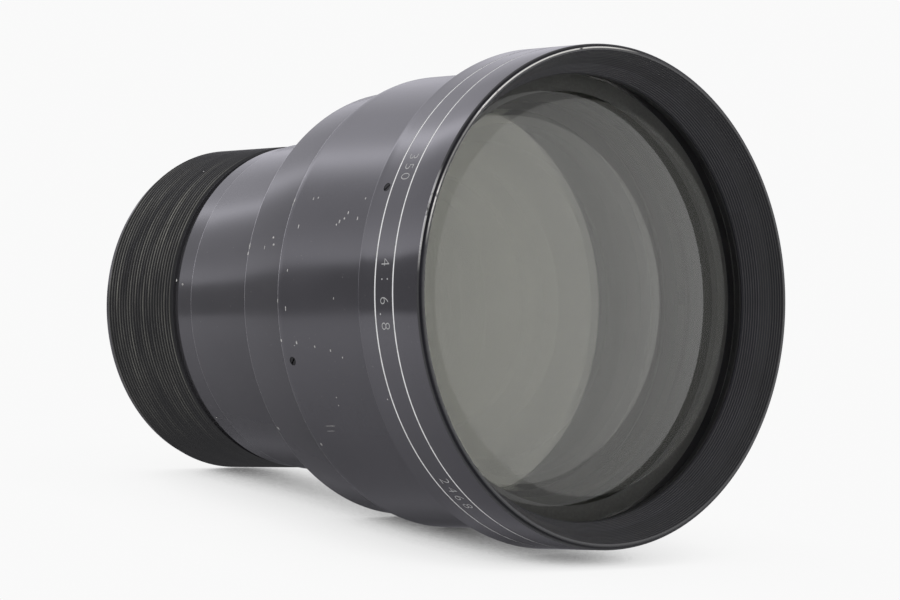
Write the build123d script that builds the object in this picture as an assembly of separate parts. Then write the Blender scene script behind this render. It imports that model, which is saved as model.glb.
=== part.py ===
from build123d import *
import os
from math import copysign, cos, radians, sin, sqrt

# A large fixed-focus camera lens, in millimetres. It stands on its rear end: the optical axis is Z, the
# front looks up, and the origin is on the axis in the plane of the shoulder that seats in a mount plate.
# A depth is a distance below the plane of the front rim, and every round size is a radius.

# Outer form, from the front rim to the end of the mounting thread
rim_radius = 56.5
ring_length = 19.6
barrel_step = 4.5
barrel_length = 32.9
middle_step = 2.8
middle_length = 15.2
tube_length = 32.35
thread_radius = 38.4
tube_step = 0.45
collar_length = 5.35
collar_taper = 0.3
groove_length = 3.5
groove_drop = 1.4
thread_length = 24.3
edge_chamfer = 0.4

# Front ring: the lip, the cone against glare and the land under the cone
lip_height = 0.9
lip_drop = 0.72
lip_width = 0.68
land_step = 0.15
land_length = 0.4
ring_wall = 1.8

# Front barrel: the head under the front ring, the seat of the front glass, the bore of the cell
head_wall = 1.55
retainer_step = 1.0
seat_back_wall = 1.1
barrel_wall = 2.7
shoulder_width = 1.7

# Middle barrel and rear tube: the neck, the chamber of the stop, the spigot, the bore of the rear cell
neck_gap = 1.0
neck_wall = 3.9
tube_ledge_length = 3.0
tube_spigot_step = 0.85
tube_ledge_width = 3.6
rear_ledge_width = 2.3

# Stop: a plate with a knife-edged hole, and the ring that clamps it
stop_thickness = 1.0
stop_width = 14.0
stop_edge_land = 0.2
stop_bevel = 2.0
stop_clamp_length = 3.0
stop_clamp_width = 3.5
stop_gap = 1.3

# Front cell
cell_gap = 2.3
cell_wall = 4.7
cell_tail_length = 6.7
cell_flange = 3.0
cell_flange_width = 6.6
cell_step = 3.4
cell_retainer_recess = 2.0

# Rear cell
rear_cell_front = 27.0
rear_cell_flange = 4.0
rear_cell_back = 35.0
rear_cell_wall = 2.1
rear_lip_length = 2.0
rear_lip_width = 3.1
spigot_length = 7.05
sleeve_wall = 3.2

# Retaining rings and spacers
front_retainer_recess = 0.1
front_retainer_length = 1.56
front_retainer_width = 2.85
front_retainer_skirt = 3.0
second_retainer_width = 1.95
second_retainer_length = 2.9
rear_retainer_width = 2.5
rear_retainer_recess = 0.2
spanner_slot_width = 2.4
spanner_slot_depth = 1.2
front_spacer_length = 4.2
front_spacer_width = 3.0
rear_spacer_width = 2.5
spacer_a_length = 3.35
spacer_b_length = 13.5
spacer_c_length = 8.4
glare_grooves = 5
glare_groove_width = 1.2
glare_groove_depth = 0.8

# Ground surfaces: a positive radius bulges to the front, a negative one to the back. A rim width is the
# flat seat outside the polished part.
first_front = 130.0
first_back = 120.0
first_thickness = 16.16
first_flange_length = 7.84
first_neck_step = 4.3
second_front = 282.0
second_back = 500.0
second_thickness = 8.0
third_front = 181.0
third_back = 114.5
third_thickness = 3.0
third_rim_width = 7.2
fourth_front = -60.0
fourth_back = 300.0
fourth_thickness = 4.0
fourth_rim_width = 3.2
fifth_front = 200.0
fifth_back = -75.0
fifth_thickness = 16.0
sixth_front = 92.0
sixth_back = -250.0
sixth_thickness = 14.0
seventh_front = -120.0
seventh_back = 400.0
seventh_thickness = 3.0
seventh_rim_width = 3.5

# Set screws, with the angle of the first one from -X towards +Y
screw_radius = 1.0
screw_slot_width = 0.35
screw_slot_depth = 0.6
screw_sink = 0.1
screws_per_ring = 3
ring_screw_back = 4.0
ring_screw_angle = 25.46
barrel_screw_back = 3.1
barrel_screw_angle = -14.82

# Clearances, on the radius unless the name says otherwise
ring_clearance = 0.05
glass_clearance = 0.1
barrel_clearance = 0.1
screw_clearance = 0.05
seat_gap = 0.02

# Depths of the outer steps
barrel_front = ring_length
middle_front = barrel_front + barrel_length
shoulder_depth = middle_front + middle_length
collar_front = shoulder_depth + tube_length
groove_front = collar_front + collar_length
thread_front = groove_front + groove_length
rear_end = thread_front + thread_length

# Radii at the front, from the rim inwards
head_radius = rim_radius - ring_wall - ring_clearance
retainer_bore = head_radius - head_wall
first_bore = retainer_bore - retainer_step
first_edge = first_bore - glass_clearance
first_retainer_bore = retainer_bore - ring_clearance - front_retainer_width
land_radius = first_retainer_bore + land_step
barrel_radius = rim_radius - barrel_step
cell_bore = barrel_radius - barrel_wall
first_neck = cell_bore - first_neck_step
cell_radius = cell_bore - barrel_clearance
neck_bore = cell_bore - shoulder_width
neck_radius = neck_bore - barrel_clearance
stop_bore = neck_radius - neck_wall
tail_radius = stop_bore - barrel_clearance
stop_hole = tail_radius - stop_width
middle_radius = barrel_radius - middle_step
second_bore = cell_radius - cell_wall
second_edge = second_bore - glass_clearance
third_bore = second_bore - cell_step
third_edge = third_bore - glass_clearance
third_clear = third_edge - third_rim_width
cell_flange_bore = third_bore - cell_flange_width

# Radii at the rear, from the thread inwards
tube_radius = thread_radius + tube_step
tube_spigot_radius = tube_radius - tube_spigot_step
tube_bore = tube_spigot_radius + barrel_clearance
tube_ledge_bore = tube_bore - tube_ledge_width
groove_radius = thread_radius - groove_drop
sleeve_bore = groove_radius - sleeve_wall
rear_cell_radius = sleeve_bore - barrel_clearance
rear_bore = rear_cell_radius + 2 * barrel_clearance
spigot_bore = rear_bore + rear_ledge_width
spigot_radius = spigot_bore - barrel_clearance
rear_glass_bore = rear_cell_radius - rear_cell_wall
rear_edge = rear_glass_bore - glass_clearance
fourth_clear = rear_edge - fourth_rim_width
seventh_clear = rear_edge - seventh_rim_width
rear_lip_bore = rear_glass_bore - rear_lip_width
spacer_bore = rear_edge - rear_spacer_width


def sag(curve, height):
    """How far behind its vertex a ground surface lies at a height above the axis."""
    return curve - copysign(sqrt(curve**2 - height**2), curve)


# Depths in the front group, from the seats
first_seat = ring_length - seat_back_wall
first_vertex = first_seat - first_flange_length - sag(first_front, first_edge)
first_retainer_back = first_vertex + sag(first_front, first_retainer_bore) - seat_gap
first_retainer_front = first_retainer_back - front_retainer_length
flange_back = first_retainer_front - front_retainer_recess
cone_depth = flange_back - land_length
first_skirt_back = first_retainer_back + front_retainer_skirt
first_ledge = first_skirt_back + glass_clearance
first_back_vertex = first_vertex + first_thickness
first_back_rim = first_back_vertex + sag(first_back, first_neck)
cell_front = first_back_rim + cell_gap
second_retainer_front = cell_front + cell_retainer_recess
second_retainer_back = second_retainer_front + second_retainer_length
second_retainer_bore = second_bore - ring_clearance - second_retainer_width
second_vertex = second_retainer_back + seat_gap - sag(second_front, second_retainer_bore)
second_back_vertex = second_vertex + second_thickness
second_seat = second_back_vertex + sag(second_back, third_edge)
front_spacer_front = second_seat + seat_gap
front_spacer_back = front_spacer_front + front_spacer_length
front_spacer_bore = third_edge - front_spacer_width
third_vertex = front_spacer_back + seat_gap - sag(third_front, front_spacer_bore)
third_back_vertex = third_vertex + third_thickness
third_seat = third_back_vertex + sag(third_back, third_clear)
cell_end = third_seat + cell_flange
cell_shoulder = cell_end - cell_tail_length

# Depths of the stop, behind the front cell
stop_clamp_front = cell_end + stop_gap
stop_front = stop_clamp_front + stop_clamp_length
stop_ledge = stop_front + stop_thickness
tube_ledge = stop_ledge + tube_ledge_length

# Depths of the rear group, from the collar
rear_flange_back = collar_front - spigot_length
rear_flange_front = rear_flange_back - rear_cell_flange
rear_cell_start = rear_flange_front - rear_cell_front
rear_cell_end = rear_flange_back + rear_cell_back
fourth_seat = rear_cell_start + rear_lip_length
fourth_vertex = fourth_seat - sag(fourth_front, fourth_clear)
fourth_back_vertex = fourth_vertex + fourth_thickness
spacer_a_front = fourth_back_vertex + sag(fourth_back, rear_edge) + seat_gap
spacer_a_back = spacer_a_front + spacer_a_length
fifth_vertex = spacer_a_back + seat_gap - sag(fifth_front, spacer_bore)
fifth_back_vertex = fifth_vertex + fifth_thickness
spacer_b_front = fifth_back_vertex + sag(fifth_back, spacer_bore) + seat_gap
spacer_b_back = spacer_b_front + spacer_b_length
sixth_vertex = spacer_b_back + seat_gap - sag(sixth_front, spacer_bore)
sixth_back_vertex = sixth_vertex + sixth_thickness
spacer_c_front = sixth_back_vertex + sag(sixth_back, spacer_bore) + seat_gap
spacer_c_back = spacer_c_front + spacer_c_length
seventh_vertex = spacer_c_back + seat_gap - sag(seventh_front, seventh_clear)
seventh_back_vertex = seventh_vertex + seventh_thickness
rear_retainer_front = seventh_back_vertex + sag(seventh_back, rear_edge) + seat_gap
rear_retainer_back = rear_cell_end - rear_retainer_recess


def at(depth, radius):
    """A point of a profile in the XZ plane, from its depth and its radius."""
    return (radius, 0, shoulder_depth - depth)


def turned(*corners):
    """A piece turned about the optical axis from the corners of its section, as (depth, radius)."""
    outline = Polyline(*[at(depth, radius) for depth, radius in corners], close=True)
    return revolve(make_face(outline), axis=Axis.Z)


def ground_arc(vertex, curve, clear):
    """The section of a ground surface, from the axis out to its clear radius."""
    half = clear / 2
    return ThreePointArc(
        at(vertex, 0),
        at(vertex + sag(curve, half), half),
        at(vertex + sag(curve, clear), clear),
    )


def polished(vertex, front, back_vertex, back, rim):
    """A glass turned from its two ground surfaces and the corners of its rim, from front to back."""
    section = [
        ground_arc(vertex, front, rim[0][1]),
        Polyline(*[at(depth, radius) for depth, radius in rim]),
        ground_arc(back_vertex, back, rim[-1][1]),
        Line(at(back_vertex, 0), at(vertex, 0)),
    ]
    return revolve(make_face(section), axis=Axis.Z)


def glass(edge, vertex, front, thickness, back, front_clear=None, back_clear=None):
    """A lens element with a cylindrical edge, and a flat rim outside a clear radius where it has one."""
    front_clear = front_clear or edge
    back_clear = back_clear or edge
    back_vertex = vertex + thickness
    front_rim = vertex + sag(front, front_clear)
    back_rim = back_vertex + sag(back, back_clear)
    corners = [(front_rim, front_clear), (front_rim, edge), (back_rim, edge), (back_rim, back_clear)]
    if front_clear == edge:
        corners.pop(0)
    if back_clear == edge:
        corners.pop()
    return polished(vertex, front, back_vertex, back, corners)


def front_element():
    """The large front glass: a meniscus whose rim steps in behind the flange that seats in the barrel."""
    rim = [
        (first_seat - first_flange_length, first_edge),
        (first_seat, first_edge),
        (first_seat, first_neck),
        (first_back_rim, first_neck),
    ]
    return polished(first_vertex, first_front, first_back_vertex, first_back, rim)


def spanner_slots(face_depth, slot_depth, bore, radius):
    """A bar across the axis that cuts two slots for a pin spanner into the face of a ring."""
    middle = shoulder_depth - face_depth - slot_depth / 2
    bar = Box(2 * radius + spanner_slot_width, spanner_slot_width, abs(slot_depth))
    keep_out = Cylinder(bore - spanner_slot_depth, 2 * abs(slot_depth))
    return Pos(0, 0, middle) * (bar - keep_out)


def screw_places(depth, first_angle):
    """Frames on the axis, one for each set screw, whose Z axes point out along the screws."""
    turn = 360 / screws_per_ring
    places = []
    for index in range(screws_per_ring):
        angle = radians(first_angle + index * turn)
        outward = (-cos(angle), sin(angle), 0)
        origin = (0, 0, shoulder_depth - depth)
        places.append(Plane(origin=origin, x_dir=(0, 0, -1), z_dir=outward))
    return places


def drill(piece, depth, first_angle, reach):
    """A ring of radial screw holes, from the axis out past the wall."""
    for place in screw_places(depth, first_angle):
        piece -= place * Pos(0, 0, reach / 2) * Cylinder(screw_radius, reach)
    return piece


def set_screws(depth, first_angle, tip, wall_radius):
    """Slotted grub screws in a ring, each from its tip out to just under the wall's surface."""
    head = wall_radius - screw_sink
    length = head - tip
    shank = Pos(0, 0, tip + length / 2) * Cylinder(screw_radius - screw_clearance, length)
    slot = Pos(0, 0, head) * Box(3 * screw_radius, screw_slot_width, 2 * screw_slot_depth)
    screw = shank - Rot(0, 0, 45) * slot
    return Compound([place * screw for place in screw_places(depth, first_angle)])


ring_screw_depth = ring_length - ring_screw_back
barrel_screw_depth = middle_front - barrel_screw_back


def front_ring():
    """The hood: a lip, a cone down to a land, and a skirt that slips over the barrel's head."""
    lip_radius = rim_radius - lip_drop
    ring = turned(
        (0, rim_radius),
        (0, lip_radius),
        (-lip_height, lip_radius),
        (-lip_height, lip_radius - lip_width),
        (cone_depth, land_radius),
        (flange_back, land_radius),
        (flange_back, head_radius + ring_clearance),
        (ring_length, head_radius + ring_clearance),
        (ring_length, rim_radius),
    )
    return drill(ring, ring_screw_depth, ring_screw_angle, 2 * rim_radius)


def front_barrel():
    """The large barrel: head, seat of the front glass, bore of the cell and threaded skirt."""
    barrel = turned(
        (flange_back, retainer_bore),
        (flange_back, head_radius),
        (barrel_front, head_radius),
        (barrel_front, barrel_radius),
        (middle_front, barrel_radius),
        (middle_front, neck_bore),
        (cell_shoulder, neck_bore),
        (cell_shoulder, cell_bore),
        (first_seat, cell_bore),
        (first_seat, first_bore),
        (first_ledge, first_bore),
        (first_ledge, retainer_bore),
    )
    return drill(barrel, barrel_screw_depth, barrel_screw_angle, 2 * barrel_radius)


def front_retaining_ring():
    """The ring that holds the front glass, with a threaded skirt round the glass's edge."""
    return turned(
        (first_retainer_front, first_retainer_bore),
        (first_retainer_front, retainer_bore - ring_clearance),
        (first_skirt_back, retainer_bore - ring_clearance),
        (first_skirt_back, first_bore),
        (first_retainer_back, first_bore),
        (first_retainer_back, first_retainer_bore),
    )


def front_cell():
    """The cell of the second and third glasses, with a tail that enters the middle barrel."""
    ledge = second_seat + glass_clearance
    return turned(
        (cell_front, second_bore),
        (cell_front, cell_radius),
        (cell_shoulder, cell_radius),
        (cell_shoulder, tail_radius),
        (cell_end, tail_radius),
        (cell_end, cell_flange_bore),
        (third_seat, cell_flange_bore),
        (third_seat, third_bore),
        (ledge, third_bore),
        (ledge, second_bore),
    )


def second_retaining_ring():
    """The ring that holds the second glass in the mouth of the front cell."""
    radius = second_bore - ring_clearance
    ring = turned(
        (second_retainer_front, second_retainer_bore),
        (second_retainer_front, radius),
        (second_retainer_back, radius),
        (second_retainer_back, second_retainer_bore),
    )
    return ring - spanner_slots(second_retainer_front, spanner_slot_depth, second_retainer_bore, radius)


def plain_ring(front, back, bore, radius):
    """A plain turned ring, as a spacer or a clamp."""
    return turned((front, bore), (front, radius), (back, radius), (back, bore))


def stop_plate():
    """The fixed stop: a thin plate whose hole is bevelled to a knife edge from behind."""
    return turned(
        (stop_front, stop_hole),
        (stop_front, tail_radius),
        (stop_ledge, tail_radius),
        (stop_ledge, stop_hole + stop_bevel),
        (stop_front + stop_edge_land, stop_hole),
    )


def stop_clamp_ring():
    """The threaded ring that clamps the stop plate on its ledge."""
    bore = tail_radius - stop_clamp_width
    ring = plain_ring(stop_clamp_front, stop_front, bore, tail_radius)
    return ring - spanner_slots(stop_clamp_front, spanner_slot_depth, bore, tail_radius)


def middle_barrel():
    """The neck, the chamber of the stop and the middle section, bored for the rear tube's spigot."""
    return turned(
        (cell_shoulder + neck_gap, stop_bore),
        (cell_shoulder + neck_gap, neck_radius),
        (middle_front, neck_radius),
        (middle_front, middle_radius),
        (shoulder_depth - edge_chamfer, middle_radius),
        (shoulder_depth, middle_radius - edge_chamfer),
        (shoulder_depth, tube_bore + tube_spigot_step),
        (shoulder_depth - tube_spigot_step, tube_bore),
        (tube_ledge, tube_bore),
        (tube_ledge, tube_ledge_bore),
        (stop_ledge, tube_ledge_bore),
        (stop_ledge, stop_bore),
    )


def rear_tube():
    """The long narrow tube, screwed into the middle barrel and bored in steps for the rear cell."""
    return turned(
        (tube_ledge, rear_bore),
        (tube_ledge, tube_spigot_radius),
        (shoulder_depth, tube_spigot_radius),
        (shoulder_depth, tube_radius),
        (collar_front, tube_radius),
        (collar_front, spigot_bore),
        (rear_flange_front, spigot_bore),
        (rear_flange_front, rear_bore),
    )


def mount_sleeve():
    """The screwed-in sleeve: spigot, tapered collar, undercut groove and mounting thread."""
    return turned(
        (rear_flange_back, sleeve_bore),
        (rear_flange_back, spigot_radius),
        (collar_front, spigot_radius),
        (collar_front, tube_radius - collar_taper),
        (groove_front, tube_radius - 2 * collar_taper),
        (groove_front, groove_radius),
        (thread_front, groove_radius),
        (thread_front, thread_radius),
        (rear_end - edge_chamfer, thread_radius),
        (rear_end, thread_radius - edge_chamfer),
        (rear_end, sleeve_bore),
    )


def rear_cell():
    """The tube of the four rear glasses, held by its flange between rear tube and sleeve."""
    return turned(
        (rear_cell_start, rear_lip_bore),
        (rear_cell_start, rear_cell_radius),
        (rear_flange_front, rear_cell_radius),
        (rear_flange_front, spigot_radius),
        (rear_flange_back, spigot_radius),
        (rear_flange_back, rear_cell_radius),
        (rear_cell_end, rear_cell_radius),
        (rear_cell_end, rear_glass_bore),
        (fourth_seat, rear_glass_bore),
        (fourth_seat, rear_lip_bore),
    )


def rear_spacer_b():
    """The long spacer, with grooves in its bore that trap stray light."""
    spacer = plain_ring(spacer_b_front, spacer_b_back, spacer_bore, rear_edge)
    pitch = spacer_b_length / glare_grooves
    groove_bottom = spacer_bore + glare_groove_depth
    for index in range(glare_grooves):
        front = spacer_b_front + index * pitch + (pitch - glare_groove_width) / 2
        back = front + glare_groove_width
        spacer -= plain_ring(front, back, spacer_bore - glare_groove_depth, groove_bottom)
    return spacer


def rear_retaining_ring():
    """The ring that holds the rear stack, slotted on its outer face."""
    bore = rear_glass_bore - ring_clearance - rear_retainer_width
    radius = rear_glass_bore - ring_clearance
    ring = plain_ring(rear_retainer_front, rear_retainer_back, bore, radius)
    return ring - spanner_slots(rear_retainer_back, -spanner_slot_depth, bore, radius)


pieces = {
    "front_ring": front_ring(),
    "ring_set_screws": set_screws(
        ring_screw_depth, ring_screw_angle, head_radius + seat_gap, rim_radius
    ),
    "front_barrel": front_barrel(),
    "barrel_set_screws": set_screws(
        barrel_screw_depth, barrel_screw_angle, neck_radius + seat_gap, barrel_radius
    ),
    "front_retaining_ring": front_retaining_ring(),
    "front_element": front_element(),
    "front_cell": front_cell(),
    "second_retaining_ring": second_retaining_ring(),
    "second_element": glass(
        second_edge, second_vertex, second_front, second_thickness, second_back, back_clear=third_edge
    ),
    "front_spacer": plain_ring(front_spacer_front, front_spacer_back, front_spacer_bore, third_edge),
    "third_element": glass(
        third_edge, third_vertex, third_front, third_thickness, third_back, back_clear=third_clear
    ),
    "stop_plate": stop_plate(),
    "stop_clamp_ring": stop_clamp_ring(),
    "middle_barrel": middle_barrel(),
    "rear_tube": rear_tube(),
    "rear_cell": rear_cell(),
    "fourth_element": glass(
        rear_edge, fourth_vertex, fourth_front, fourth_thickness, fourth_back, front_clear=fourth_clear
    ),
    "rear_spacer_a": plain_ring(spacer_a_front, spacer_a_back, spacer_bore, rear_edge),
    "fifth_element": glass(rear_edge, fifth_vertex, fifth_front, fifth_thickness, fifth_back),
    "rear_spacer_b": rear_spacer_b(),
    "sixth_element": glass(rear_edge, sixth_vertex, sixth_front, sixth_thickness, sixth_back),
    "rear_spacer_c": plain_ring(spacer_c_front, spacer_c_back, spacer_bore, rear_edge),
    "seventh_element": glass(
        rear_edge,
        seventh_vertex,
        seventh_front,
        seventh_thickness,
        seventh_back,
        front_clear=seventh_clear,
    ),
    "rear_retaining_ring": rear_retaining_ring(),
    "mount_sleeve": mount_sleeve(),
}

os.makedirs("parts", exist_ok=True)
for name, piece in pieces.items():
    export_step(piece, f"parts/{name}.step")
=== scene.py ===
from math import atan2, copysign, cos, hypot, pi, radians, sin, sqrt, tau

import bpy
from mathutils import Matrix, Vector


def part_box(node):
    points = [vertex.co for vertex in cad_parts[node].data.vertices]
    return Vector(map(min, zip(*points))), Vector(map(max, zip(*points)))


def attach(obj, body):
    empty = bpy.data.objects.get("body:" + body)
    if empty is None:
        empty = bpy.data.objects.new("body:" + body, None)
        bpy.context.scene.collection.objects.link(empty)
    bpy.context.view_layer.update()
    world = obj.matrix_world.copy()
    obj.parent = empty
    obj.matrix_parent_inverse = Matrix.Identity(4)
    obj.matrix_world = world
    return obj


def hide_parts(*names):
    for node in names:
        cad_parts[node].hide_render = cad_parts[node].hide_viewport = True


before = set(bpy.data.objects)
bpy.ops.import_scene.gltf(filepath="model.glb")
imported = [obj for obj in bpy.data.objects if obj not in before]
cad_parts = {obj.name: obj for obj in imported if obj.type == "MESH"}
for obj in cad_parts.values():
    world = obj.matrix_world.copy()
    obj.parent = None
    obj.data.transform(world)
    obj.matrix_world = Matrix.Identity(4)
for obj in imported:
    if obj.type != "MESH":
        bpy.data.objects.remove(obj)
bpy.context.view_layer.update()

# The large front barrel, the body that everything else is screwed to. Turned from one aluminium bar,
# anodised black and left glossy, with faint rings from the lathe and edges rubbed to bare metal.
round_sides = 256
barrel_low, barrel_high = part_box("front_barrel")
head_radius = barrel_high.x
barrel_radius = 0.052
barrel_top = 0.0481
broken_edge = 0.0003
first_seat = 0.0492
first_bore = 0.0521
first_ledge = 0.05473
retainer_bore = 0.0531
cell_bore = 0.0493
cell_shoulder = 0.024685
neck_bore = 0.0476
screw_hole = 0.001
screw_hole_sides = 40
screws_in_a_set = 3
barrel_screw_height = 0.0183
barrel_screw_angle = radians(-14.82)
hole_margin = 0.0014
drill_share = 0.4
crease = radians(28)
weld = 1e-6
sliver = 1e-5


def select_only(piece):
    """Leaves one object selected and active."""
    bpy.ops.object.select_all(action="DESELECT")
    piece.select_set(True)
    bpy.context.view_layer.objects.active = piece


def first_corner(name, height, radius):
    """A new piece that is still one point, the first corner of its section, left in edit mode."""
    bpy.ops.object.select_all(action="DESELECT")
    bpy.ops.mesh.primitive_plane_add(size=0.01)
    piece = bpy.context.object
    piece.name = name
    bpy.ops.object.mode_set(mode="EDIT")
    bpy.ops.mesh.merge(type="CENTER")
    bpy.ops.transform.translate(value=(radius, 0, height))
    return piece


def turned(name, corners, closed=True):
    """A piece turned about the optical axis: its section is drawn corner by corner and spun."""
    height, radius = corners[0]
    piece = first_corner(name, height, radius)
    way = corners[1:] + corners[:1] if closed else corners[1:]
    for next_height, next_radius in way:
        step = (next_radius - radius, 0, next_height - height)
        bpy.ops.mesh.extrude_vertices_move(TRANSFORM_OT_translate={"value": step})
        height, radius = next_height, next_radius
    bpy.ops.mesh.select_all(action="SELECT")
    bpy.ops.mesh.remove_doubles(threshold=weld)
    bpy.ops.mesh.spin(steps=round_sides, angle=tau, center=(0, 0, 0), axis=(0, 0, 1))
    bpy.ops.mesh.select_all(action="SELECT")
    bpy.ops.mesh.remove_doubles(threshold=weld)
    bpy.ops.mesh.normals_make_consistent(inside=False)
    bpy.ops.object.mode_set(mode="OBJECT")
    select_only(piece)
    bpy.ops.object.shade_smooth_by_angle(angle=crease)
    return piece


def eased(height, radius, ease, up):
    """Corners of a softly broken outer edge, from its flat face (up or down) round to the wall."""
    corners = []
    for share in (1.0, 0.75, 0.5, 0.25, 0.0):
        drop = ease * (1 - sin(share * pi / 2))
        corners.append((height - up * drop, radius - ease * (1 - cos(share * pi / 2))))
    return corners


def outwards(angle):
    """The way out from the axis at an angle, which counts from -X towards +Y."""
    return Vector((-cos(angle), sin(angle), 0))


def bored(piece, height, first_angle, wall_radius):
    """Radial screw holes for one set of screws, evenly spaced from the first angle."""
    for index in range(screws_in_a_set):
        outward = outwards(first_angle + index * tau / screws_in_a_set)
        bpy.ops.object.select_all(action="DESELECT")
        bpy.ops.mesh.primitive_cylinder_add(
            vertices=screw_hole_sides,
            radius=screw_hole,
            depth=drill_share * wall_radius,
            location=outward * wall_radius + Vector((0, 0, height)),
            rotation=outward.to_track_quat("Z", "Y").to_euler(),
        )
        drill = bpy.context.object
        hole = piece.modifiers.new("screw_hole", "BOOLEAN")
        hole.operation = "DIFFERENCE"
        hole.solver = "EXACT"
        hole.object = drill
        select_only(piece)
        bpy.ops.object.modifier_apply(modifier=hole.name)
        bpy.data.objects.remove(drill)
    bpy.ops.object.shade_smooth_by_angle(angle=crease)


def band_finish(piece, slot, low, high):
    """Gives a material slot to the faces whose middle lies between two corners, as (height, radius)."""
    for face in piece.data.polygons:
        radius = hypot(face.center.x, face.center.y)
        if low[0] < face.center.z < high[0] and low[1] < radius < high[1]:
            face.material_index = slot


def edge_finish(piece, low, radius):
    """Gives the second finish of a piece to the broken edge at the foot of its wall."""
    band_finish(piece, 1, (low + sliver, radius - 2 * broken_edge), (low + broken_edge, radius + sliver))


def new_material(name):
    """A material with its node tree, its links and its main shader."""
    material = bpy.data.materials.new(name)
    material.use_nodes = True
    tree = material.node_tree
    return material, tree.nodes, tree.links, tree.nodes["Principled BSDF"]


def stretched_noise(nodes, links, scale, across, along, detail=4.0, rough=0.55):
    """Noise in Object coordinates, scaled across the axis and along it."""
    place = nodes.new("ShaderNodeTexCoord")
    mapping = nodes.new("ShaderNodeMapping")
    mapping.inputs["Scale"].default_value = (across, across, along)
    noise = nodes.new("ShaderNodeTexNoise")
    noise.inputs["Scale"].default_value = scale
    noise.inputs["Detail"].default_value = detail
    noise.inputs["Roughness"].default_value = rough
    links.new(place.outputs["Object"], mapping.inputs["Vector"])
    links.new(mapping.outputs["Vector"], noise.inputs["Vector"])
    return noise.outputs["Fac"]


def across_axis(nodes, links):
    """Object coordinates laid flat across the optical axis."""
    place = nodes.new("ShaderNodeTexCoord")
    flat = nodes.new("ShaderNodeVectorMath")
    flat.operation = "MULTIPLY"
    flat.inputs[1].default_value = (1, 1, 0)
    links.new(place.outputs["Object"], flat.inputs[0])
    return flat.outputs["Vector"]


def ramp(nodes, links, source, stops):
    """A colour ramp on a value, from stops of (place, grey or colour)."""
    node = nodes.new("ShaderNodeValToRGB")
    elements = node.color_ramp.elements
    while len(elements) < len(stops):
        elements.new(0.5)
    for element, (place, tone) in zip(elements, stops):
        element.position = place
        element.color = (*tone, 1) if isinstance(tone, tuple) else (tone, tone, tone, 1)
    links.new(source, node.inputs["Fac"])
    return node.outputs["Color"]


def mixed(nodes, links, share, first, second):
    """Mixes two colours by a share; each colour is fixed or comes from another node."""
    mix = nodes.new("ShaderNodeMix")
    mix.data_type = "RGBA"
    links.new(share, mix.inputs["Factor"])
    for colour, socket in ((first, mix.inputs["A"]), (second, mix.inputs["B"])):
        if isinstance(colour, tuple):
            socket.default_value = (*colour, 1)
        else:
            links.new(colour, socket)
    return mix.outputs["Result"]


def product(nodes, links, first, second):
    """Multiplies two values that come from other nodes."""
    times = nodes.new("ShaderNodeMath")
    times.operation = "MULTIPLY"
    links.new(first, times.inputs[0])
    links.new(second, times.inputs[1])
    return times.outputs["Value"]


def bumped(nodes, links, shader, height, distance):
    """Turns a value into bump on a shader, with its depth in metres."""
    bump = nodes.new("ShaderNodeBump")
    bump.inputs["Distance"].default_value = distance
    links.new(height, bump.inputs["Height"])
    links.new(bump.outputs["Normal"], shader.inputs["Normal"])


def black_anodised(name, tone, rough_low, rough_high, gloss=1.6):
    """Glossy black anodising over turned aluminium: faint rings, smears and specks of dust."""
    material, nodes, links, shader = new_material(name)
    smear = stretched_noise(nodes, links, 38.0, 1.0, 0.6)
    rings = stretched_noise(nodes, links, 900.0, 0.02, 6.0, detail=2.0)
    dust = stretched_noise(nodes, links, 2600.0, 1.0, 1.0, detail=1.0)
    blotch = ramp(nodes, links, smear, [(0.35, tone), (0.7, tuple(1.3 * part for part in tone))])
    speck = ramp(nodes, links, dust, [(0.77, 0.0), (0.81, 1.0)])
    colour = mixed(nodes, links, speck, blotch, (0.14, 0.135, 0.13))
    links.new(colour, shader.inputs["Base Color"])
    links.new(ramp(nodes, links, smear, [(0.3, rough_low), (0.75, rough_high)]), shader.inputs["Roughness"])
    bumped(nodes, links, shader, rings, 0.000004)
    shader.inputs["IOR"].default_value = gloss
    return material


def side_share(nodes, links, angle, near, far, least, most=1.0):
    """The most on the side of the axis that faces an angle, as far as near, and the least beyond far."""
    unit = nodes.new("ShaderNodeVectorMath")
    unit.operation = "NORMALIZE"
    facing = nodes.new("ShaderNodeVectorMath")
    facing.operation = "DOT_PRODUCT"
    facing.inputs[1].default_value = outwards(angle)
    share = nodes.new("ShaderNodeMapRange")
    share.inputs["From Min"].default_value = cos(far)
    share.inputs["From Max"].default_value = cos(near)
    share.inputs["To Min"].default_value = least
    share.inputs["To Max"].default_value = most
    links.new(across_axis(nodes, links), unit.inputs[0])
    links.new(unit.outputs["Vector"], facing.inputs[0])
    links.new(facing.outputs["Value"], share.inputs["Value"])
    return share.outputs["Result"]


def rubbed_edge_and_painted_highlight(name, tone, bare, cover, side, dull=None):
    """An edge of black anodising that handling has rubbed through to bare metal, most on one side and
    less again where it is dull. On the lip and the rim the one-sided bare metal is also a painted highlight
    towards the light."""
    material, nodes, links, shader = new_material(name)
    wear = stretched_noise(nodes, links, 260.0, 1.0, 1.0, detail=5.0, rough=0.65)
    fade = 0.05
    patches = ramp(nodes, links, wear, [(cover - fade, 0.0), (cover + fade, 1.0)])
    mask = product(nodes, links, patches, side_share(nodes, links, *side))
    if dull:
        mask = product(nodes, links, mask, side_share(nodes, links, *dull))
    links.new(mixed(nodes, links, mask, tone, bare), shader.inputs["Base Color"])
    links.new(mask, shader.inputs["Metallic"])
    links.new(ramp(nodes, links, wear, [(0.4, 0.24), (0.6, 0.36)]), shader.inputs["Roughness"])
    shader.inputs["Specular IOR Level"].default_value = 0.25
    return material


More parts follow.
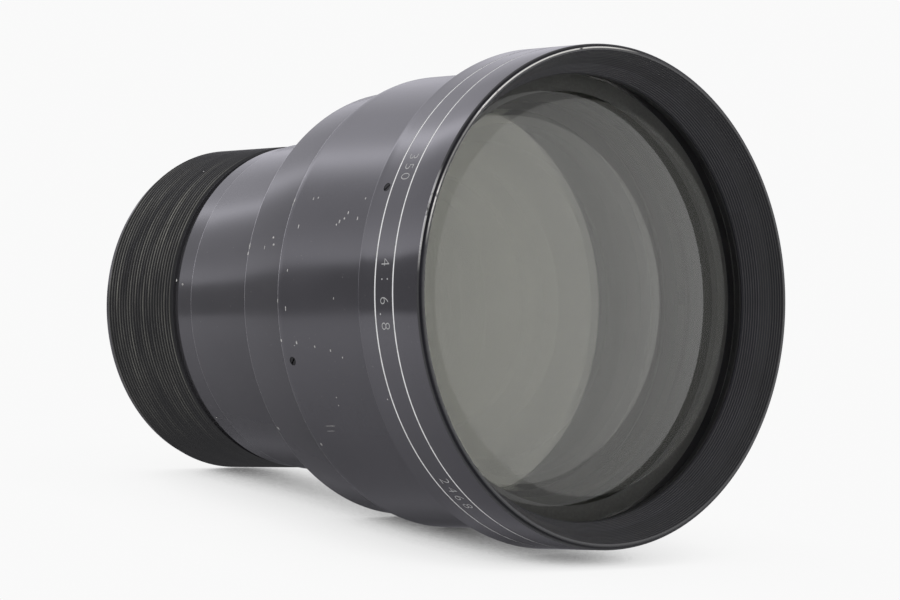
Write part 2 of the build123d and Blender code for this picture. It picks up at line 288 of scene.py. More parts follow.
edge_tone = (0.04, 0.04, 0.043)
barrel_black = black_anodised("black_anodised_barrel", (0.028, 0.027, 0.031), 0.13, 0.22)
barrel_edge = rubbed_edge_and_painted_highlight("rubbed_barrel_edge", edge_tone, (0.3, 0.297, 0.295), cover=0.32,
                          side=(radians(35), 0.2, 1.3, 0.7))
barrel = turned("large_barrel", [
    (barrel_low.z, neck_bore),
    *eased(barrel_low.z, barrel_radius, broken_edge, -1),
    (barrel_screw_height - hole_margin, barrel_radius),
    (barrel_screw_height + hole_margin, barrel_radius),
    (barrel_top, barrel_radius),
    (barrel_top, head_radius),
    (barrel_high.z, head_radius),
    (barrel_high.z, retainer_bore),
    (first_ledge, retainer_bore),
    (first_ledge, first_bore),
    (first_seat, first_bore),
    (first_seat, cell_bore),
    (cell_shoulder, cell_bore),
    (cell_shoulder, neck_bore),
])
bored(barrel, barrel_screw_height, barrel_screw_angle, barrel_radius)
barrel.data.materials.append(barrel_black)
barrel.data.materials.append(barrel_edge)
edge_finish(barrel, barrel_low.z, barrel_radius)
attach(barrel, "root")
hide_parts("front_barrel")

# The front glass: a thick meniscus of optical glass, its faces ground and polished, its edge and the
# step behind its flange painted black. It drops on its seat in the barrel from the front.
glass_steps = 35
face_tolerance = 0.00004
haze_radius = 0.0446
outer_face = (0.130, 0.052)
inner_face = (0.120, 0.045)


def sag(curve, reach):
    """How far a ground face falls below its vertex; a positive curve bulges to the front."""
    return curve - copysign(sqrt(curve**2 - reach**2), curve)


def ground_face(vertex, curve, clear):
    """Corners along a ground face, from the axis out to its clear radius."""
    reaches = [clear * step / glass_steps for step in range(glass_steps + 1)]
    return [(vertex - sag(curve, reach), reach) for reach in reaches]


def polish(name, gloss, film=0.0, passes=1.0, coat=0.0):
    """Clear polished glass: gloss and coat are how strongly it reflects, film how much dust lies on it,
    and passes how much of the light comes through."""
    material, nodes, links, shader = new_material(name)
    streaks = stretched_noise(nodes, links, 60.0, 1.0, 1.0)
    tints = [(0.2, (0.975, 0.98, 0.92)), (0.8, (0.99, 0.99, 0.94))]
    stops = [(stop, tuple(passes * part for part in tint)) for stop, tint in tints]
    links.new(ramp(nodes, links, streaks, stops), shader.inputs["Base Color"])
    shader.inputs["Transmission Weight"].default_value = 1.0 - film
    shader.inputs["IOR"].default_value = 1.5
    shader.inputs["Specular IOR Level"].default_value = gloss
    shader.inputs["Roughness"].default_value = 0.0
    shader.inputs["Coat Weight"].default_value = coat
    shader.inputs["Coat Roughness"].default_value = 0.0
    return material


def blackened_edge(name):
    """The ground edge of a glass, painted with matt black lens paint."""
    material, nodes, links, shader = new_material(name)
    grain = stretched_noise(nodes, links, 1500.0, 1.0, 1.0)
    links.new(ramp(nodes, links, grain, [(0.3, 0.13), (0.7, 0.16)]), shader.inputs["Base Color"])
    shader.inputs["Roughness"].default_value = 0.8
    shader.inputs["Specular IOR Level"].default_value = 0.1
    bumped(nodes, links, shader, grain, 0.000002)
    return material


def lies_on(facet, vertex, curve, clear):
    """Tells whether a facet is part of a ground face, inside its clear radius."""
    reach = hypot(facet.center.x, facet.center.y)
    return reach < clear and abs(facet.center.z - vertex + sag(curve, reach)) < face_tolerance


def glass_piece(name, node, front, back, finishes, flange=None, hazed=1.0):
    """A glass in place of a node. Each face is (curve, clear radius); the finishes are those of the
    front face, the back face and the rim; a flange is the height of the step behind it. Outside the
    hazed radius the front face is as clear as the back."""
    low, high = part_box(node)
    edge = high.x
    front_curve, front_clear = front
    back_curve, back_clear = back
    front_vertex = high.z + min(0, sag(front_curve, front_clear))
    back_vertex = low.z + max(0, sag(back_curve, back_clear))
    front_face = ground_face(front_vertex, front_curve, front_clear)
    back_face = ground_face(back_vertex, back_curve, back_clear)
    rim = [(front_face[-1][0], edge), (flange or back_face[-1][0], edge)]
    if flange:
        rim.append((flange, back_clear))
    piece = turned(name, front_face + rim + back_face[::-1], closed=False)
    for finish in finishes:
        piece.data.materials.append(finish)
    for facet in piece.data.polygons:
        facet.material_index = 2
        if lies_on(facet, front_vertex, front_curve, front_clear):
            facet.material_index = 0 if hypot(facet.center.x, facet.center.y) < hazed else 1
        if lies_on(facet, back_vertex, back_curve, back_clear):
            facet.material_index = 1
    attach(piece, "root")
    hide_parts(node)


edge_paint = blackened_edge("lens_edge_paint")
front_polish = polish("hazed_front_face", 0.5, film=0.048, coat=0.24)
clear_polish = polish("polished_face", 0.5)
glass_piece("front_glass", "front_element", outer_face, inner_face, (front_polish, clear_polish, edge_paint),
            flange=first_seat, hazed=haze_radius)

# The ring that holds the front glass on its seat. Turned aluminium, anodised matt black against stray
# light, and screwed into the barrel's head from the front.
ring_low, ring_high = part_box("front_retaining_ring")
ring_chamfer = 0.0001


def matt_black(name, tone, rough, patchy=1.5, relief=0.00001):
    """Matt black anodising with the fine rings of the turning tool; patchy is how much lighter its
    pale patches are, relief how deep its rings go."""
    material, nodes, links, shader = new_material(name)
    rings = stretched_noise(nodes, links, 1400.0, 0.02, 3.0, detail=2.0)
    cloud = stretched_noise(nodes, links, 90.0, 1.0, 1.0)
    links.new(ramp(nodes, links, cloud, [(0.3, tone), (0.7, tuple(patchy * part for part in tone))]),
              shader.inputs["Base Color"])
    links.new(ramp(nodes, links, cloud, [(0.3, rough), (0.7, rough + 0.12)]), shader.inputs["Roughness"])
    shader.inputs["Specular IOR Level"].default_value = 0.3
    bumped(nodes, links, shader, rings, relief)
    return material


inside_black = matt_black("matt_black_inside", (0.009, 0.009, 0.0095), 0.5)
retainer_radius = ring_high.x
glass_opening = 0.0502
retainer_back = 0.05783
retainer = turned("front_glass_ring", [
    (ring_high.z, glass_opening + ring_chamfer),
    (ring_high.z, retainer_radius),
    (ring_low.z, retainer_radius),
    (ring_low.z, first_bore),
    (retainer_back, first_bore),
    (retainer_back, glass_opening),
    (ring_high.z - ring_chamfer, glass_opening),
])
retainer.data.materials.append(inside_black)
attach(retainer, "root")
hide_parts("front_retaining_ring")

# The front ring: a hood that slips over the barrel's head and is locked by three set screws. Turned
# aluminium, anodised glossy black, with fine ridges inside against glare and a lip worn bright. Painted
# highlights lie on the lip, the outer edge of the rim and the ridge crests, and painted shade on the rim
# face.
hood_low, hood_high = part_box("front_ring")
rim_radius = hood_high.x
rim_height = 0.0677
band_sunk = 0.00002
band_radius = rim_radius - band_sunk
face_step = 0.0002
face_height = rim_height + face_step
lip_top = hood_high.z
lip_radius = 0.05578
lip_ease = 0.00012
lip_worn = 0.0003
lip_foot = 0.0003
lip_wall = 0.0560
rim_inner = 0.0562
rim_foot = face_height - broken_edge
crest_inner = 0.0551
line_width = 0.00042
line_depth = 0.00004
line_inner, line_outer = 0.0563, 0.0566
line_heights = (rim_height - 0.0139, rim_height - 0.0080)
cone_foot = rim_height - 0.00781
land_foot = rim_height - 0.00821
land_radius = 0.05035
slip_fit = 0.00005
cone_inner = 0.0500
ridges = 17
ridge_depth = 0.00022
ridge_crest, ridge_wall, ridge_root = 0.3, 0.45, 0.8
shallow_share = 0.25
crest_tolerance = 0.00002
smooth_from, smooth_to = 5, 10
ring_screw_height = rim_height - 0.0156
ring_screw_angle = radians(25.46)


def lines_outside():
    """Corners of the outer wall upwards, with a shallow groove for each white line."""
    corners = [*eased(hood_low.z, rim_radius, broken_edge, -1), (hood_low.z + 2 * broken_edge, band_radius)]
    for margin in (-hole_margin, hole_margin):
        corners.append((ring_screw_height + margin, band_radius))
    for height in line_heights:
        for side, drop in ((-1, 0), (-1, line_depth), (1, line_depth), (1, 0)):
            corners.append((height + side * line_width / 2, band_radius - drop))
    return corners + eased(face_height, band_radius, broken_edge, 1)[::-1]


def ridges_inside():
    """Corners of the cone downwards, from the crest of the lip to the land, with its fine ridges."""
    corners = []
    for index in range(ridges):
        cut = ridge_depth * (shallow_share if smooth_from <= index < smooth_to else 1.0)
        for share, drop in ((0.0, 0.0), (ridge_crest, 0.0), (ridge_wall, cut), (ridge_root, cut)):
            way = (index + share) / ridges
            height = lip_top + (cone_foot - lip_top) * way
            radius = crest_inner + (land_radius - crest_inner) * way + drop
            corners.append((height, radius))
    return corners


def white_filling(name, tone):
    """White paint rubbed into a groove, a little uneven."""
    material, nodes, links, shader = new_material(name)
    wear = stretched_noise(nodes, links, 420.0, 1.0, 1.0, detail=5.0)
    links.new(ramp(nodes, links, wear, [(0.3, 0.8 * tone), (0.5, tone)]), shader.inputs["Base Color"])
    shader.inputs["Roughness"].default_value = 0.6
    return material


hood = turned("hood_ring", [
    *lines_outside(),
    (face_height, lip_radius),
    *eased(lip_top, lip_radius, lip_ease, 1)[::-1],
    (lip_top, lip_radius - lip_worn),
    *ridges_inside(),
    (cone_foot, land_radius),
    (land_foot, land_radius),
    (land_foot, head_radius + slip_fit),
    (hood_low.z, head_radius + slip_fit),
])
bored(hood, ring_screw_height, ring_screw_angle, rim_radius)
hood_finishes = [
    black_anodised("black_anodised_ring", (0.026, 0.025, 0.029), 0.08, 0.14, gloss=1.7),
    # The lip is worn to bare metal in patches, weighted to the side towards the light as a painted highlight.
    rubbed_edge_and_painted_highlight("rubbed_lip_and_painted_highlight", edge_tone, (0.66, 0.65, 0.62), cover=0.36,
                side=(radians(56), 0.62, 0.78, 0.0), dull=(radians(36), 0.1, 0.2, 1.0, 0.3)),
    # A painted highlight on the outer edge of the rim: bare metal only in a narrow arc on the side towards
    # the light.
    rubbed_edge_and_painted_highlight("rim_edge_painted_highlight", edge_tone, (0.42, 0.415, 0.41), cover=0.36,
                side=(radians(18), 0.12, 0.22, 0.0)),
    matt_black("ridged_black_and_painted_shade", (0.0118, 0.0115, 0.015), 0.5),
    white_filling("white_line_paint", 0.82),
    # Lighter crests on the ridges: painted highlights where the crests catch the light.
    matt_black("painted_highlight_ridge_crests", (0.043, 0.042, 0.045), 0.35),
    matt_black("painted_highlight_shallow_crests", (0.034, 0.034, 0.033), 0.4),
]
for finish in hood_finishes:
    hood.data.materials.append(finish)
lip_wear_and_highlight_slot, rim_highlight_slot, matt_and_shade_slot, line_slot, crest_highlight_slot, shallow_crest_highlight_slot = range(1, len(hood_finishes))
band_finish(hood, lip_wear_and_highlight_slot, (face_height + lip_foot, lip_radius - lip_worn), (lip_top + sliver, lip_wall))
band_finish(hood, rim_highlight_slot, (rim_foot - sliver, rim_inner), (face_height - sliver, rim_radius))
band_finish(hood, matt_and_shade_slot, (land_foot - sliver, cone_inner), (lip_top - sliver, crest_inner + ridge_depth))
# The flat face round the lip and the lip's outer wall take the same matt black as painted shade, where the
# rim lies in shadow.
band_finish(hood, matt_and_shade_slot, (face_height - sliver, lip_radius - sliver), (lip_top - lip_ease, rim_inner))
for height in line_heights:
    band_finish(hood, line_slot, (height - line_width / 2, line_inner), (height + line_width / 2, line_outer))
# The ridge crests get the lighter tones as a painted highlight, and the shallow ridges the dimmer one.
for face in hood.data.polygons:
    way = (lip_top - face.center.z) / (lip_top - cone_foot)
    crest_radius = crest_inner + (land_radius - crest_inner) * way + crest_tolerance
    on_crest = 0 < way < 1 and hypot(face.center.x, face.center.y) < crest_radius
    if face.material_index == matt_and_shade_slot and on_crest:
        face.material_index = crest_highlight_slot if way * ridges > smooth_to else shallow_crest_highlight_slot
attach(hood, "root")
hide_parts("front_ring")

# Plain numbers and dots engraved in the band between the white lines, and filled with pale paint.
# They read round the ring, with their tops towards the front rim. A number is given with its angle in
# degrees, a dot with its angle and its depth behind the rim.
engraving_depth = 0.0109
engraving_size = 0.0040
engraved_marks = [
    ("3", 33.16), ("5", 30.51), ("0", 27.97), ("4", 7.88), ("6", -0.62), ("8", -6.25),
    ("2", -45.3), ("4", -48.3), ("6", -51.1), ("8", -54.2),
]
engraved_dots = [(4.12, 0.0098), (4.12, 0.0116), (-3.57, 0.0122)]
stroke_thinning = -0.00009
paint_thickness = 0.000003
paint_rise = 0.000004
dot_sides = 16
dot_radius = 0.0002
dot_bevel = 0.00005


def placed_on(radius, angle, depth):
    """A frame on a round wall, at an angle and a depth behind the rim: X round the axis, Y to the front
    and Z outwards."""
    outward = outwards(angle)
    here = Matrix(((-outward.y, outward.x, 0), (0, 0, 1), outward)).transposed().to_4x4()
    here.translation = outward * radius + Vector((0, 0, rim_height - depth))
    return here


def joined(name, pieces):
    """Joins pieces into one, with their places applied to its mesh."""
    bpy.context.view_layer.update()
    bpy.ops.object.select_all(action="DESELECT")
    for piece in pieces:
        piece.select_set(True)
    bpy.context.view_layer.objects.active = pieces[0]
    bpy.ops.object.transform_apply(location=True, rotation=True, scale=True)
    if len(pieces) > 1:
        bpy.ops.object.join()
    whole = bpy.context.object
    whole.name = name
    return whole


marks = []
for word, angle in engraved_marks:
    bpy.ops.object.select_all(action="DESELECT")
    bpy.ops.object.text_add()
    mark = bpy.context.object
    mark.data.body = word
    mark.data.align_x = "CENTER"
    mark.data.align_y = "CENTER"
    mark.data.size = engraving_size
    mark.data.offset = stroke_thinning
    mark.data.extrude = paint_thickness
    bpy.ops.object.convert(target="MESH")
    mark = bpy.context.object
    mark.matrix_world = placed_on(band_radius + paint_rise, radians(angle), engraving_depth)
    marks.append(mark)
for angle, depth in engraved_dots:
    bpy.ops.object.select_all(action="DESELECT")
    bpy.ops.mesh.primitive_circle_add(vertices=dot_sides, radius=dot_radius, fill_type="NGON")
    mark = bpy.context.object
    bpy.ops.object.mode_set(mode="EDIT")
    bpy.ops.mesh.inset(thickness=dot_bevel, depth=paint_rise)
    bpy.ops.object.mode_set(mode="OBJECT")
    mark.matrix_world = placed_on(band_radius + paint_rise, radians(angle), depth)
    marks.append(mark)
numbers = joined("engraved_numbers", marks)
numbers.data.materials.clear()
numbers.data.materials.append(white_filling("pale_number_paint", 0.42))
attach(numbers, "root")

# The middle barrel: neck, stop chamber and the short section behind the large barrel. Turned aluminium,
# anodised black, screwed into the large barrel from behind.
middle_low, middle_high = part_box("middle_barrel")
middle_radius = 0.0492
middle_top = barrel_low.z
neck_radius = 0.0475
stop_bore = 0.0436
stop_ledge = 0.012685
light_opening = 0.0345
tube_ledge = 0.009685
tube_bore = 0.0381
lead_in_top = 0.00085
lead_in_radius = 0.03895
middle = turned("middle_barrel_shell", [
    (middle_low.z, lead_in_radius),
    *eased(middle_low.z, middle_radius, broken_edge, -1),
    (middle_top, middle_radius),
    (middle_top, neck_radius),
    (middle_high.z, neck_radius),
    (middle_high.z, stop_bore),
    (stop_ledge, stop_bore),
    (stop_ledge, light_opening),
    (tube_ledge, light_opening),
    (tube_ledge, tube_bore),
    (lead_in_top, tube_bore),
])
worn_black = (0.040, 0.039, 0.043)
middle.data.materials.append(black_anodised("black_anodised_middle", worn_black, 0.13, 0.20, gloss=1.45))
middle.data.materials.append(barrel_edge)
edge_finish(middle, middle_low.z, middle_radius)
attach(middle, "root")
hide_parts("middle_barrel")

# The rear tube: long and narrow, with a spigot in front that screws into the middle barrel. Turned
# aluminium, anodised black; the middle barrel's shoulder stands at height zero.
tube_low, tube_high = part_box("rear_tube")
tube_radius = 0.03885
tube_spigot = 0.0380
tube_opening = 0.0339
sleeve_ledge = -0.0213
sleeve_bore = 0.0360
tube = turned("rear_tube_shell", [
    (tube_low.z, sleeve_bore),
    *eased(tube_low.z, tube_radius, broken_edge, -1),
    (0.0, tube_radius),
    (0.0, tube_spigot),
    (tube_high.z, tube_spigot),
    (tube_high.z, tube_opening),
    (sleeve_ledge, tube_opening),
    (sleeve_ledge, sleeve_bore),
])
tube_black = black_anodised("black_anodised_tube", worn_black, 0.12, 0.20, gloss=1.45)
tube.data.materials.append(tube_black)
tube.data.materials.append(barrel_edge)
edge_finish(tube, tube_low.z, tube_radius)
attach(tube, "root")
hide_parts("rear_tube")

# The mount sleeve: tapered collar, undercut groove and a fine mounting thread of 1 mm pitch, cut in
# one piece. Anodised black, with the crests of the thread worn to grey metal.
sleeve_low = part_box("mount_sleeve")[0]
thread_radius = 0.0384
thread_pitch = 0.001
thread_turns = 24
thread_steps = 160
thread_depth = 0.0006
thread_top = -0.0403
flank_share = 0.4
crest_share = 0.1
crest_rise = 0.00004
first_crest = sleeve_low.z + 0.0011
worn_depth = 0.0002
groove_top = -0.0377
groove_radius = 0.0370
collar_foot_radius = 0.03825
collar_top = -0.03235
collar_radius = 0.03855
spigot_top = -0.0253
spigot_radius = 0.0359
rear_opening = 0.0338
sleeve = turned("mount_sleeve_core", [
    (sleeve_low.z, rear_opening),
    (sleeve_low.z, thread_radius - thread_depth),
    (thread_top, thread_radius - thread_depth),
    (thread_top, groove_radius),
    (groove_top, groove_radius),
    (groove_top, collar_foot_radius),
    (collar_top, collar_radius),
    (collar_top, spigot_radius),
    (spigot_top, spigot_radius),
    (spigot_top, rear_opening),
])
sleeve.data.materials.append(tube_black)


def thread_finish(name):
    """Black thread whose crests are worn to grey in streaks, most on the side that rubs in a mount."""
    material, nodes, links, shader = new_material(name)
    reach = nodes.new("ShaderNodeVectorMath")
    reach.operation = "LENGTH"
    links.new(across_axis(nodes, links), reach.inputs[0])
    crest = nodes.new("ShaderNodeMapRange")
    crest.inputs["From Min"].default_value = thread_radius - worn_depth
    crest.inputs["From Max"].default_value = thread_radius
    links.new(reach.outputs["Value"], crest.inputs["Value"])
    streaks = stretched_noise(nodes, links, 90.0, 0.35, 5.0, detail=6.0, rough=0.6)
    share = ramp(nodes, links, streaks, [(0.4, 0.06), (0.55, 0.4), (0.7, 1.0)])
    worn = product(nodes, links, crest.outputs["Result"], share)
    worn = product(nodes, links, worn, side_share(nodes, links, radians(8), 0.55, 1.1, 0.1))
    colour = mixed(nodes, links, worn, (0.008, 0.008, 0.01), (0.26, 0.255, 0.225))
    links.new(colour, shader.inputs["Base Color"])
    shader.inputs["Roughness"].default_value = 0.45
    shader.inputs["Specular IOR Level"].default_value = 0.35
    return material


root_radius = thread_radius - thread_depth - crest_rise
ridge = first_corner("mount_thread", first_crest - thread_pitch / 2, root_radius)
for outward, upward in (
    (thread_depth, flank_share * thread_pitch),
    (crest_rise, crest_share * thread_pitch),
    (-crest_rise, crest_share * thread_pitch),
    (-thread_depth, flank_share * thread_pitch),
    (0, -thread_pitch),
):
    bpy.ops.mesh.extrude_vertices_move(TRANSFORM_OT_translate={"value": (outward, 0, upward)})
bpy.ops.mesh.select_all(action="SELECT")
bpy.ops.mesh.remove_doubles(threshold=weld)
bpy.ops.object.mode_set(mode="OBJECT")
winding = ridge.modifiers.new("winding", "SCREW")
winding.axis = "Z"
winding.steps = thread_steps
winding.render_steps = thread_steps
winding.screw_offset = thread_pitch
winding.iterations = thread_turns
winding.use_merge_vertices = False
select_only(ridge)
bpy.ops.object.modifier_apply(modifier=winding.name)
bpy.ops.object.mode_set(mode="EDIT")
bpy.ops.mesh.select_all(action="SELECT")
bpy.ops.mesh.normals_make_consistent(inside=False)
bpy.ops.object.mode_set(mode="OBJECT")
bpy.ops.object.shade_smooth_by_angle(angle=crease)
ridge.data.materials.append(thread_finish("worn_thread_metal"))
for piece in (sleeve, ridge):
    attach(piece, "root")
    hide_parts("mount_sleeve")

# The inner cells, spacers, retaining rings and stop plate keep their exact turned shape. All are
# aluminium, anodised a deep matt black against stray light.
inner_black_nodes = [
    "front_cell", "second_retaining_ring", "front_spacer", "stop_plate", "stop_clamp_ring", "rear_cell",
    "rear_spacer_a", "rear_spacer_b", "rear_spacer_c", "rear_retaining_ring",
]


def refinished(nodes_kept, finish):
    """Gives CAD nodes that keep their own mesh a new finish."""
    for node in nodes_kept:
        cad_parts[node].data.materials.clear()
        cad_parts[node].data.materials.append(finish)


deep_black = matt_black("deep_matt_black", (0.05, 0.05, 0.046), 0.7, patchy=1.15, relief=0.000001)
refinished(inner_black_nodes, deep_black)

# The inner glasses, each ground, polished, painted black on its edge and seated in its cell. Faces are
# given as curve and clear radius, from the front glass backwards.
inner_glasses = {
    "second": ((0.282, 0.0444), (0.500, 0.0410)),
    "third": ((0.181, 0.0410), (0.1145, 0.0338)),
    "fourth": ((-0.060, 0.0283), (0.300, 0.0315)),
    "fifth": ((0.200, 0.0315), (-0.075, 0.0315)),
    "sixth": ((0.092, 0.0315), (-0.250, 0.0315)),
    "seventh": ((-0.120, 0.0280), (0.400, 0.0315)),
}
second_polish = polish("second_front_face", 0.5, coat=0.7)
coated_polish = polish("coated_face", 0.0, passes=0.5)
for place, (front, back) in inner_glasses.items():
    first_finish = second_polish if place == "second" else coated_polish
    glass_piece(place + "_glass", place + "_element", front, back, (first_finish, coated_polish, edge_paint))

# Slotted grub screws, turned from steel and blackened. One set of three locks the front ring on the
# barrel's head, the other locks the large barrel on the middle barrel.
screw_nodes = ["ring_set_screws", "barrel_set_screws"]


def blackened_steel(name):
    """Steel blackened in oil, fine-grained and dull."""
    material, nodes, links, shader = new_material(name)
    grain = stretched_noise(nodes, links, 3000.0, 1.0, 1.0)
    links.new(ramp(nodes, links, grain, [(0.3, 0.004), (0.7, 0.012)]), shader.inputs["Base Color"])
    shader.inputs["Roughness"].default_value = 0.5
    shader.inputs["Specular IOR Level"].default_value = 0.25
    return material


refinished(screw_nodes, blackened_steel("blackened_steel"))

# Small nicks and scratches from use, where the anodising is chipped to bare metal, lie on the barrels,
# the collar and the front ring. Each is given by its angle in degrees, and in millimetres by its depth
# behind the rim, its length round the axis and its width.
nick_height = 0.000012
barrel_nicks = [
    (0.3, 52.3, 0.9, 0.3), (-9.6, 52.1, 0.6, 0.5), (26.0, 52.2, 1.1, 0.35), (24.9, 52.3, 0.6, 0.3),
    (26.2, 45.7, 0.7, 0.3), (26.4, 44.1, 0.5, 0.3), (25.4, 27.5, 0.5, 0.4), (19.6, 34.1, 0.8, 0.4),
    (20.3, 32.7, 0.6, 0.4), (21.8, 31.9, 0.7, 0.3), (20.1, 28.2, 0.8, 0.3), (18.8, 34.9, 0.5, 0.3),
    (18.8, 48.0, 0.9, 0.25), (7.7, 49.3, 0.6, 0.25), (-1.7, 49.6, 1.1, 0.25), (0.4, 33.0, 0.5, 0.3),
    (-10.2, 46.9, 0.7, 0.5), (-10.9, 47.8, 0.3, 0.3), (-11.3, 40.9, 0.6, 0.35), (-12.4, 35.7, 0.5, 0.35),
    (-14.2, 32.1, 0.4, 0.3), (-24.5, 38.0, 0.3, 0.3), (-26.7, 38.3, 0.3, 0.3), (-38.2, 51.0, 0.8, 0.4),
    (-32.5, 44.4, 0.12, 3.4), (-34.0, 44.9, 0.1, 2.6),
]
middle_nicks = [
    (15.2, 67.4, 1.4, 0.4), (13.3, 67.5, 0.9, 0.35), (17.4, 59.6, 0.5, 0.5), (15.4, 59.0, 0.5, 0.6),
    (14.7, 62.0, 0.9, 0.2), (-35.4, 67.0, 0.9, 0.35),
]
collar_nicks = [
    (7.8, 103.8, 0.5, 0.7), (9.3, 106.2, 0.6, 0.4), (-42.7, 104.1, 0.4, 0.5), (57.7, 117.2, 0.4, 0.4),
]
ring_nicks = [(-23.0, 15.3, 0.3, 0.3)]


def chip(radius, angle, depth, length, width):
    """A flat uneven chip on a round surface: its length runs round the axis."""
    bpy.ops.object.select_all(action="DESELECT")
    bpy.ops.mesh.primitive_ico_sphere_add(subdivisions=2, radius=1)
    piece = bpy.context.object
    bpy.ops.object.mode_set(mode="EDIT")
    bpy.ops.transform.vertex_random(offset=0.3, uniform=0.2, normal=0.3, seed=int(1000 * depth) % 97)
    bpy.ops.object.mode_set(mode="OBJECT")
    size = Matrix.Diagonal((length / 2, width / 2, nick_height, 1))
    piece.matrix_world = placed_on(radius, angle, depth) @ size
    return piece


def chipped_metal(name):
    """Bare aluminium in a chip, uneven and dull."""
    material, nodes, links, shader = new_material(name)
    grain = stretched_noise(nodes, links, 3500.0, 1.0, 1.0)
    tones = [(0.35, (0.2, 0.2, 0.19)), (0.6, (0.62, 0.61, 0.58))]
    links.new(ramp(nodes, links, grain, tones), shader.inputs["Base Color"])
    shader.inputs["Metallic"].default_value = 0.3
    shader.inputs["Roughness"].default_value = 0.5
    return material


bare_chip = chipped_metal("chipped_bare_metal")


def worn_chips(name, nicks, radius):
    """All the chips of one piece, joined and finished as bare metal."""
    pieces = []
    for angle, depth, length, width in nicks:
        pieces.append(chip(radius, radians(angle), depth / 1000, length / 1000, width / 1000))
    chips = joined(name, pieces)
    chips.data.materials.append(bare_chip)
    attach(chips, "root")


worn_chips("barrel_chips", barrel_nicks, barrel_radius)
worn_chips("middle_chips", middle_nicks, middle_radius)
worn_chips("collar_chips", collar_nicks, thread_radius)
worn_chips("ring_chips", ring_nicks, band_radius)

# The matt white table that the lens lies on, on the end of its thread and the edge of its large barrel.
# It shows from above only. For the camera it is a glow with a painted shadow, its tone falling near other
# things.
table_sides = 64
table_radius = 0.6
shadow_reach = 0.05
shadow_tones = [
    (0.0, 0.05), (0.07, 0.33), (0.095, 0.42), (0.12, 0.58), (0.19, 0.75), (0.26, 0.79), (0.36, 0.84),
    (0.55, 0.92), (0.75, 0.94), (1.0, 0.951),
]
thread_rest = Vector((0, -thread_radius, sleeve_low.z))
table_slope = atan2(barrel_radius - thread_radius, barrel_low.z - sleeve_low.z)


def white_table(name):
    """Matt white for light, a glow with a painted shadow for the camera, and nothing from below."""
    material, nodes, links, shader = new_material(name)
    nodes.remove(shader)
    diffuse = nodes.new("ShaderNodeBsdfDiffuse")
    diffuse.inputs["Color"].default_value = (1, 1, 1, 1)
    nearness = nodes.new("ShaderNodeAmbientOcclusion")
    nearness.inputs["Distance"].default_value = shadow_reach
    painted_shadow_glow = nodes.new("ShaderNodeEmission")
    links.new(ramp(nodes, links, nearness.outputs["AO"], shadow_tones), painted_shadow_glow.inputs["Color"])
    path = nodes.new("ShaderNodeLightPath")
    top = nodes.new("ShaderNodeMixShader")
    links.new(path.outputs["Is Camera Ray"], top.inputs["Fac"])
    links.new(diffuse.outputs["BSDF"], top.inputs[1])
    links.new(painted_shadow_glow.outputs["Emission"], top.inputs[2])
    clear = nodes.new("ShaderNodeBsdfTransparent")
    side = nodes.new("ShaderNodeNewGeometry")
    both = nodes.new("ShaderNodeMixShader")
    links.new(side.outputs["Backfacing"], both.inputs["Fac"])
    links.new(top.outputs["Shader"], both.inputs[1])
    links.new(clear.outputs["BSDF"], both.inputs[2])
    links.new(both.outputs["Shader"], nodes["Material Output"].inputs["Surface"])
    return material


bpy.ops.object.select_all(action="DESELECT")
bpy.ops.mesh.primitive_circle_add(vertices=table_sides, radius=table_radius, fill_type="NGON")
table = bpy.context.object
table.matrix_world = Matrix.Translation(thread_rest) @ Matrix.Rotation(-pi / 2 + table_slope, 4, "X")
table = joined("table", [table])
table.data.materials.append(white_table("white_table"))
table.visible_glossy = False

# Soft light from a white room all round. What the gloss of the barrels sees behind the lens is uneven:
# a bright window above, a dim strip at the height of the axis, and dimmer parts below. It is given as a
# brightness for each angle round the axis, in degrees from -X towards +Y.
world = bpy.data.worlds.new("studio")
bpy.context.scene.world = world
world.use_nodes = True
nodes, links = world.node_tree.nodes, world.node_tree.links
room_white = 0.951
seen = [
    (-180, 0.4), (-166, 0.1), (-150, 0.1), (-136, 0.19), (-124, 0.32), (-104, 0.31), (-88, 0.35), (-72, 0.44),
    (-60, 0.54), (-48, 0.65), (-32, 0.8), (-16, 1.0), (-7, 1.0), (-4.5, 0.36), (8, 0.33), (15, 0.37),
    (18.5, 0.5), (21, 1.55), (23.5, 1.7), (26, 1.6), (36, 1.22), (44, 1.02), (56, 1.03), (64, 1.16),
    (71, 1.75), (79, 3.0), (84, 2.5), (88, 1.8), (96, 1.4), (112, 1.05), (150, 0.97), (180, 0.4),
]
brightest = 4.0
uneven_from, uneven_to = 0.25, -0.05
cool_light = (0.985, 0.97, 1.07)
way = nodes.new("ShaderNodeTexCoord")
split = nodes.new("ShaderNodeSeparateXYZ")
links.new(way.outputs["Generated"], split.inputs["Vector"])
turn = nodes.new("ShaderNodeMath")
turn.operation = "ARCTAN2"
flip = nodes.new("ShaderNodeMath")
flip.operation = "MULTIPLY"
flip.inputs[1].default_value = -1
links.new(split.outputs["X"], flip.inputs[0])
links.new(split.outputs["Y"], turn.inputs[0])
links.new(flip.outputs["Value"], turn.inputs[1])
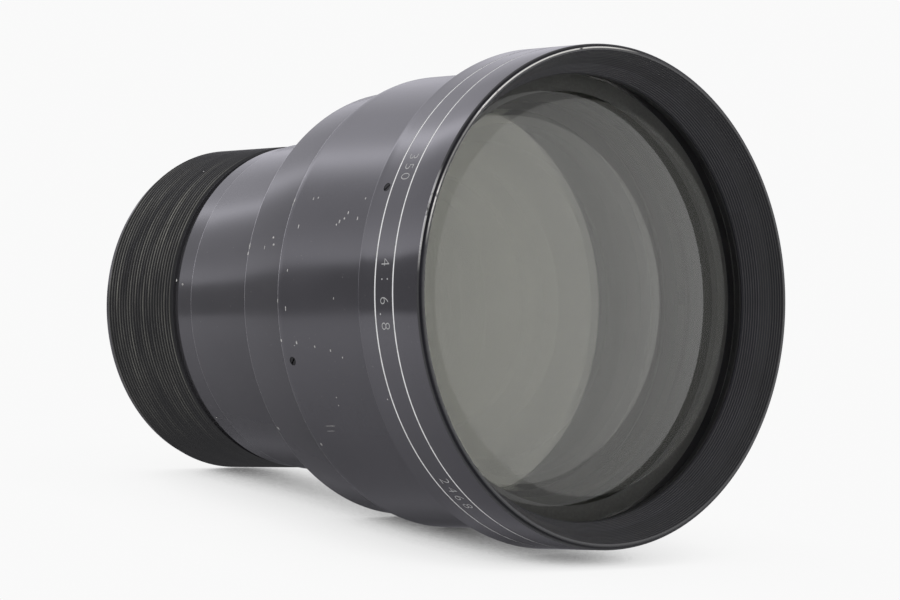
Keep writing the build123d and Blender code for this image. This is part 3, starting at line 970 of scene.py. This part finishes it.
share = nodes.new("ShaderNodeMapRange")
share.inputs["From Min"].default_value = -pi
share.inputs["From Max"].default_value = pi
links.new(turn.outputs["Value"], share.inputs["Value"])
stops = [((angle + 180) / 360, tone / brightest) for angle, tone in seen]
strip = ramp(nodes, links, share.outputs["Result"], stops)
scaled = nodes.new("ShaderNodeMix")
scaled.data_type = "RGBA"
scaled.blend_type = "MULTIPLY"
scaled.inputs["Factor"].default_value = 1
scaled.inputs["B"].default_value = (*[brightest * part for part in cool_light], 1)
links.new(strip, scaled.inputs["A"])
behind = nodes.new("ShaderNodeMapRange")
behind.inputs["From Min"].default_value = uneven_from
behind.inputs["From Max"].default_value = uneven_to
links.new(split.outputs["Z"], behind.inputs["Value"])
glossy = nodes.new("ShaderNodeMix")
glossy.data_type = "RGBA"
links.new(behind.outputs["Result"], glossy.inputs["Factor"])
glossy.inputs["A"].default_value = (room_white, room_white, room_white, 1)
links.new(scaled.outputs["Result"], glossy.inputs["B"])
path = nodes.new("ShaderNodeLightPath")
light = nodes.new("ShaderNodeMix")
light.data_type = "RGBA"
links.new(path.outputs["Is Glossy Ray"], light.inputs["Factor"])
light.inputs["A"].default_value = (room_white, room_white, room_white, 1)
links.new(glossy.outputs["Result"], light.inputs["B"])
links.new(light.outputs["Result"], nodes["Background"].inputs["Color"])

# The camera stands a long way off and a little above the table, in front of the lens and on its -X side,
# as for the photograph. Its place and its two directions are in the lens's own frame.
camera_place = Vector((-0.7509, -0.0181, 0.8576))
camera_right = Vector((0.74664, -0.01463, 0.66507))
camera_up = Vector((0, 0.99976, 0.02199))
camera_data = bpy.data.cameras.new("camera")
camera = bpy.data.objects.new("camera", camera_data)
bpy.context.scene.collection.objects.link(camera)
camera_axes = Matrix((camera_right, camera_up, camera_right.cross(camera_up))).transposed().to_4x4()
camera.matrix_world = Matrix.Translation(camera_place) @ camera_axes
camera_data.lens = 195.5
camera_data.sensor_width = 36
bpy.context.scene.camera = camera
bpy.context.scene.view_settings.view_transform = "Standard"
